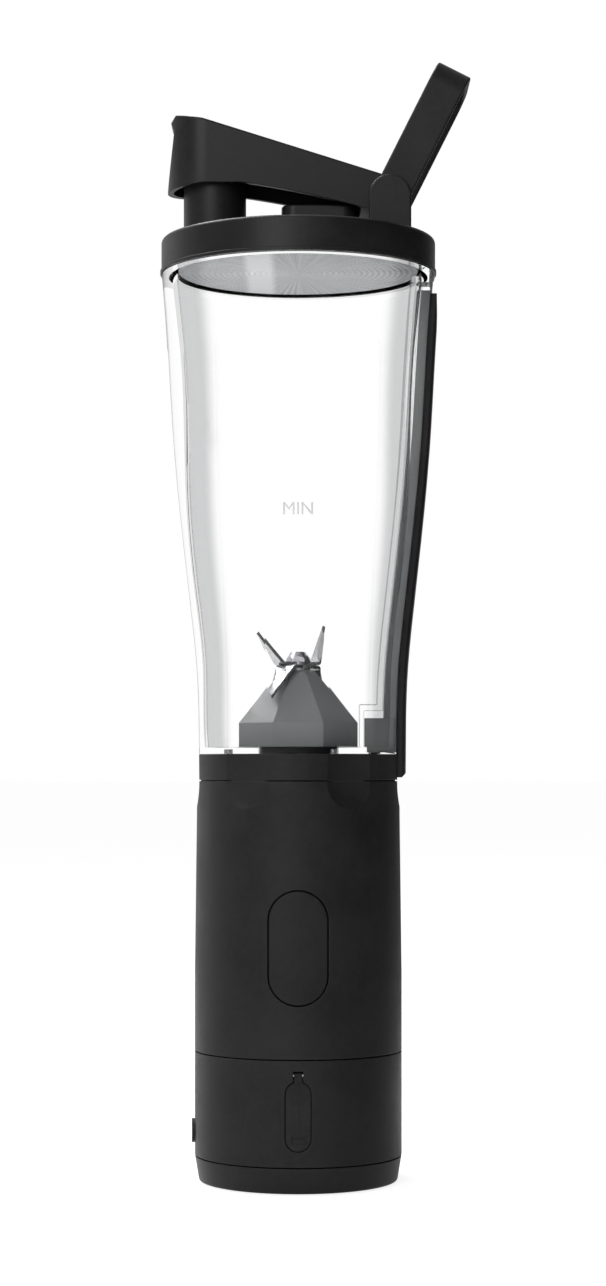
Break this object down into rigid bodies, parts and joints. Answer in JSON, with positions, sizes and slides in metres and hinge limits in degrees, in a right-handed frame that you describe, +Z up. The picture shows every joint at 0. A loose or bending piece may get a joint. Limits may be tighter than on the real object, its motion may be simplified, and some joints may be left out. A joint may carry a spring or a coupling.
{
  "type": "cordless bottle blender",
  "caption": "Cordless bottle blender with a battery base, clear fluted cup, blade hub and a screw lid with a flip-cap spout and carry loop.",
  "frame": {"origin": "centre of the foot's resting plane", "axes": "+Z up along the motor shaft, -Y towards the power button, +X towards the rail and carry loop, -X towards the spout"},
  "size_m": [0.0925, 0.0826, 0.3331],
  "materials": {
    "housing_black": "satin moulded plastic",
    "lid_black": "satin moulded plastic",
    "rail_black": "satin moulded plastic",
    "button_black": "fine matte plastic",
    "rubber_black": "soft matte rubber",
    "cup_clear": "clear moulded copolyester",
    "hub_grey": "grey moulded plastic",
    "rod_grey": "grey moulded plastic",
    "liner_pale": "pale translucent silicone",
    "silicone_grey": "silicone",
    "blade_steel": "ground stainless steel",
    "steel_shaft": "turned steel",
    "steel_screw": "zinc plated steel",
    "motor_steel": "drawn zinc plated steel",
    "nickel": "nickel strip",
    "magnet_grey": "sintered ferrite",
    "copper": "drawn copper",
    "bronze": "sintered bronze",
    "cell_sleeve": "shrink sleeve",
    "board_green": "solder mask",
    "switch_black": "moulded plastic",
    "carrier_black": "moulded plastic",
    "coupling_black": "tough moulded plastic"
  },
  "bodies": {
    "base": {"foot_pad": "rubber_black", "foot_cap": "housing_black", "foot_screws": "steel_screw", "lower_shell": "housing_black", "base_shell": "housing_black", "port_pin": "steel_screw", "usb_socket": "steel_shaft", "charge_board": "board_green", "button_seal": "silicone_grey", "tact_switch": "switch_black", "main_board": "board_green", "battery_cell_left": "cell_sleeve", "battery_cell_right": "cell_sleeve", "cell_links": "nickel", "battery_carrier": "carrier_black", "motor_can": "motor_steel", "motor_end_cap": "carrier_black", "motor_magnets": "magnet_grey", "motor_bracket": "carrier_black", "motor_screws": "steel_screw", "bracket_screws": "steel_screw", "well_seal": "silicone_grey", "guard_switch": "switch_black"},
    "motor_rotor": {"motor_shaft": "steel_shaft", "motor_armature": "motor_steel", "motor_commutator": "copper", "drive_coupling": "coupling_black"},
    "power_button": {"power_button": "button_black", "switch_plunger": "switch_black"},
    "port_cover": {"port_cover": "rubber_black"},
    "guard_plunger": {"guard_plunger": "carrier_black"},
    "cup_unit": {"cup": "cup_clear", "cup_collar": "housing_black", "collar_screws": "steel_screw", "side_rail": "rail_black", "blade_base": "hub_grey", "hub_gasket": "silicone_grey", "hub_nut": "hub_grey", "lower_bush": "bronze", "upper_bush": "bronze", "shaft_seal": "rubber_black"},
    "blade_rotor": {"driven_coupling": "coupling_black", "blade_shaft": "steel_shaft", "lower_blade": "blade_steel", "upper_blade": "blade_steel", "blade_nut": "steel_screw"},
    "interlock": {"interlock_rod": "rod_grey", "rod_spring": "steel_shaft"},
    "lid": {"lid_ring": "lid_black", "hinge_pin": "steel_shaft", "lid_liner": "liner_pale", "lid_seal": "silicone_grey", "spout": "lid_black"},
    "flip_cap": {"flip_cap": "lid_black", "cap_stopper": "silicone_grey"},
    "carry_loop": {"carry_loop": "lid_black"}
  },
  "joints": [
    {"name": "motor_spin", "type": "hinge", "parent": "base", "child": "motor_rotor", "pos_m": [0, 0, 0.1116], "axis": [0, 0, 1], "continuous": true},
    {"name": "cup_lift", "type": "slide", "parent": "base", "child": "cup_unit", "axis": [0, 0, 1], "range_m": [0, 0.06]},
    {"name": "blade_spin", "type": "hinge", "parent": "cup_unit", "child": "blade_rotor", "pos_m": [0, 0, 0.14], "axis": [0, 0, 1], "continuous": true},
    {"name": "lid_lift", "type": "slide", "parent": "cup_unit", "child": "lid", "axis": [0, 0, 1], "range_m": [0, 0.05]},
    {"name": "rod_rise", "type": "slide", "parent": "cup_unit", "child": "interlock", "axis": [0, 0, 1], "range_m": [0, 0.002], "deforming": ["rod_spring"]},
    {"name": "plunger_rise", "type": "slide", "parent": "base", "child": "guard_plunger", "axis": [0, 0, 1], "range_m": [0, 0.002]},
    {"name": "cap_open", "type": "hinge", "parent": "lid", "child": "flip_cap", "pos_m": [0.027, 0, 0.2919], "axis": [0, 1, 0], "range_deg": [0, 82]},
    {"name": "loop_fold", "type": "hinge", "parent": "lid", "child": "carry_loop", "pos_m": [0.027, 0, 0.2919], "axis": [0, 1, 0], "range_deg": [0, 75]},
    {"name": "button_press", "type": "slide", "parent": "base", "child": "power_button", "axis": [0, 1, 0], "range_m": [0, 0.0008], "stiffness_N_per_m": 1500},
    {"name": "port_open", "type": "hinge", "parent": "base", "child": "port_cover", "pos_m": [0, -0.03015, 0.0349], "axis": [-1, 0, 0], "range_deg": [0, 100]}
  ],
  "couplings": [
    {"joint": "blade_spin", "follows": "motor_spin", "ratio": 1},
    {"joint": "rod_rise", "follows": "lid_lift", "ratio": 0.04},
    {"joint": "plunger_rise", "follows": "lid_lift", "ratio": 0.04}
  ]
}
